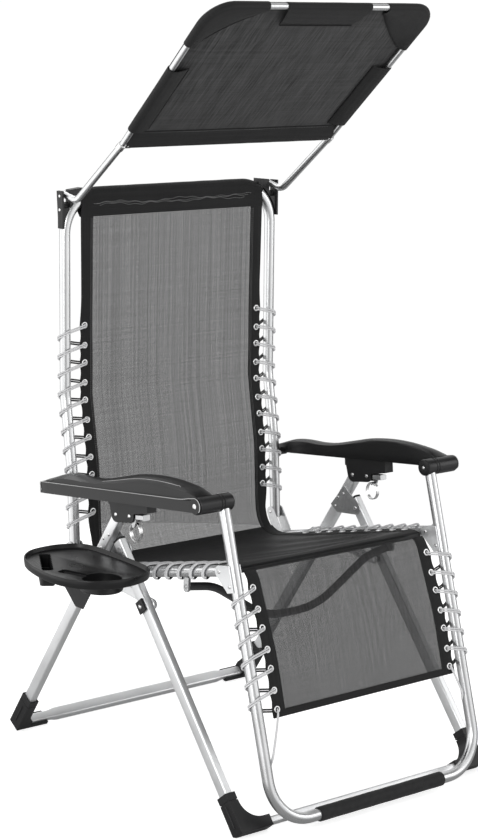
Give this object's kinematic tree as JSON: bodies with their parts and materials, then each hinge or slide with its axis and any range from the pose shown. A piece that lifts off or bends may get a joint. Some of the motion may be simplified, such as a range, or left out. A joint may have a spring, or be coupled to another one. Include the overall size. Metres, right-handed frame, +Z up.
{
  "type": "sun lounger with canopy",
  "caption": "Folding sun lounger: laced mesh slings on bent tubes, coupled back, seat and leg rest, wavy armrests with slide locks, side tray with cup recess, and a tilting mesh canopy.",
  "frame": {"origin": "on the floor under the middle of the whole lounger's bounding box, tray and canopy included", "axes": "+Z up, -Y the way the sitter faces, +X to the sitter's left"},
  "size_m": [0.85, 0.803, 1.5162],
  "materials": {
    "aluminium_tube": "satin anodised",
    "steel_fitting": "zinc plated, stamped",
    "dark_steel": "dark powder coat",
    "black_plastic": "fine grain",
    "armrest_plastic": "smooth, slightly glossy on the crown",
    "tray_plastic": "fine grain",
    "open_mesh": "open coated weave, see-through",
    "seat_mesh": "dense coated weave, padded look",
    "canopy_mesh": "close coated weave",
    "cord": "covered elastic cord",
    "foam": "closed cell foam"
  },
  "bodies": {
    "base": {"rear_leg_left": "aluminium_tube", "rear_leg_right": "aluminium_tube", "rear_cross_tube": "aluminium_tube", "rear_foot_left": "black_plastic", "rear_foot_right": "black_plastic", "hinge_plate_left": "steel_fitting", "hinge_plate_right": "steel_fitting", "seat_pin_left": "steel_fitting", "seat_pin_right": "steel_fitting", "tray": "tray_plastic", "tray_clip": "black_plastic"},
    "front_legs": {"front_leg_left": "aluminium_tube", "front_leg_right": "aluminium_tube", "leg_end_plug_left": "black_plastic", "leg_end_plug_right": "black_plastic", "front_cross_tube": "aluminium_tube", "front_foot_left": "black_plastic", "front_foot_right": "black_plastic", "stay_bushing_left": "black_plastic", "stay_bushing_right": "black_plastic"},
    "stay_left": {"fold_stay_left": "aluminium_tube"},
    "stay_right": {"fold_stay_right": "aluminium_tube"},
    "lock_left": {"lock_bracket_left": "black_plastic", "lock_clamp_left": "steel_fitting"},
    "lock_right": {"lock_bracket_right": "black_plastic", "lock_clamp_right": "steel_fitting"},
    "ring_left": {"lock_ring_left": "steel_fitting"},
    "ring_right": {"lock_ring_right": "steel_fitting"},
    "seat": {"seat_rail_left": "aluminium_tube", "seat_rail_right": "aluminium_tube", "rail_end_plate_left": "steel_fitting", "rail_end_plate_right": "steel_fitting", "seat_front_bar": "dark_steel", "curved_cross_bar": "dark_steel", "seat_sling": "seat_mesh", "seat_lacing_left": "cord", "seat_lacing_right": "cord"},
    "back": {"back_frame": "aluminium_tube", "canopy_gusset_left": "black_plastic", "canopy_gusset_right": "black_plastic", "back_sling": "open_mesh", "back_lacing_left": "cord", "back_lacing_right": "cord"},
    "leg_rest": {"leg_frame": "aluminium_tube", "foam_grip": "foam", "knee_fork_left": "steel_fitting", "knee_fork_right": "steel_fitting", "armrest_barrel_left": "black_plastic", "armrest_barrel_right": "black_plastic", "leg_sling": "open_mesh", "leg_lacing_left": "cord", "leg_lacing_right": "cord"},
    "armrest_left": {"armrest_left": "armrest_plastic"},
    "armrest_right": {"armrest_right": "armrest_plastic"},
    "canopy": {"canopy_frame": "aluminium_tube", "canopy_arm_left": "aluminium_tube", "canopy_arm_right": "aluminium_tube", "canopy_rear_bar": "aluminium_tube", "canopy_fabric": "canopy_mesh"}
  },
  "joints": [
    {"name": "recline", "type": "hinge", "parent": "seat", "child": "back", "pos_m": [0.09098, 0.25241, 0.41609], "axis": [-1, 0, 0], "range_deg": [0, 50]},
    {"name": "seat_tilt", "type": "hinge", "parent": "base", "child": "seat", "pos_m": [0.09098, 0.1403, 0.389], "axis": [-1, 0, 0], "range_deg": [0, 15]},
    {"name": "leg_swing", "type": "hinge", "parent": "seat", "child": "leg_rest", "pos_m": [0.09098, -0.21999, 0.4761], "axis": [-1, 0, 0], "range_deg": [0, 50]},
    {"name": "armrest_swing_left", "type": "hinge", "parent": "leg_rest", "child": "armrest_left", "pos_m": [0.39998, -0.20907, 0.60514], "axis": [-1, 0, 0], "range_deg": [-50, 0]},
    {"name": "armrest_swing_right", "type": "hinge", "parent": "leg_rest", "child": "armrest_right", "pos_m": [-0.21802, -0.20907, 0.60514], "axis": [-1, 0, 0], "range_deg": [-50, 0]},
    {"name": "lock_turn_left", "type": "hinge", "parent": "base", "child": "lock_left", "pos_m": [0.39998, 0.0465, 0.534], "axis": [-1, 0, 0], "range_deg": [0, 15]},
    {"name": "lock_turn_right", "type": "hinge", "parent": "base", "child": "lock_right", "pos_m": [-0.21802, 0.0465, 0.534], "axis": [-1, 0, 0], "range_deg": [0, 15]},
    {"name": "ring_swing_left", "type": "hinge", "parent": "lock_left", "child": "ring_left", "pos_m": [0.39998, -0.00436, 0.52252], "axis": [1, 0, 0], "range_deg": [-60, 60]},
    {"name": "ring_swing_right", "type": "hinge", "parent": "lock_right", "child": "ring_right", "pos_m": [-0.21802, -0.00436, 0.52252], "axis": [1, 0, 0], "range_deg": [-60, 60]},
    {"name": "front_leg_fold", "type": "hinge", "parent": "base", "child": "front_legs", "pos_m": [0.09098, 0.03478, 0.464], "axis": [1, 0, 0], "range_deg": [0, 45]},
    {"name": "stay_swing_left", "type": "hinge", "parent": "front_legs", "child": "stay_left", "pos_m": [0.37998, -0.03751, 0.37066], "axis": [1, 0, 0], "range_deg": [-26, 0]},
    {"name": "stay_swing_right", "type": "hinge", "parent": "front_legs", "child": "stay_right", "pos_m": [-0.19802, -0.03751, 0.37066], "axis": [1, 0, 0], "range_deg": [-26, 0]},
    {"name": "canopy_tilt", "type": "hinge", "parent": "back", "child": "canopy", "pos_m": [0.09098, 0.30599, 1.12009], "axis": [1, 0, 0], "range_deg": [-90, 30]}
  ],
  "couplings": [
    {"joint": "seat_tilt", "follows": "recline", "ratio": 0.3},
    {"joint": "leg_swing", "follows": "recline", "ratio": 1},
    {"joint": "armrest_swing_left", "follows": "recline", "ratio": -1},
    {"joint": "armrest_swing_right", "follows": "recline", "ratio": -1},
    {"joint": "lock_turn_left", "follows": "recline", "ratio": 0.3},
    {"joint": "lock_turn_right", "follows": "recline", "ratio": 0.3},
    {"joint": "stay_swing_left", "follows": "front_leg_fold", "ratio": -0.573},
    {"joint": "stay_swing_right", "follows": "front_leg_fold", "ratio": -0.573}
  ]
}
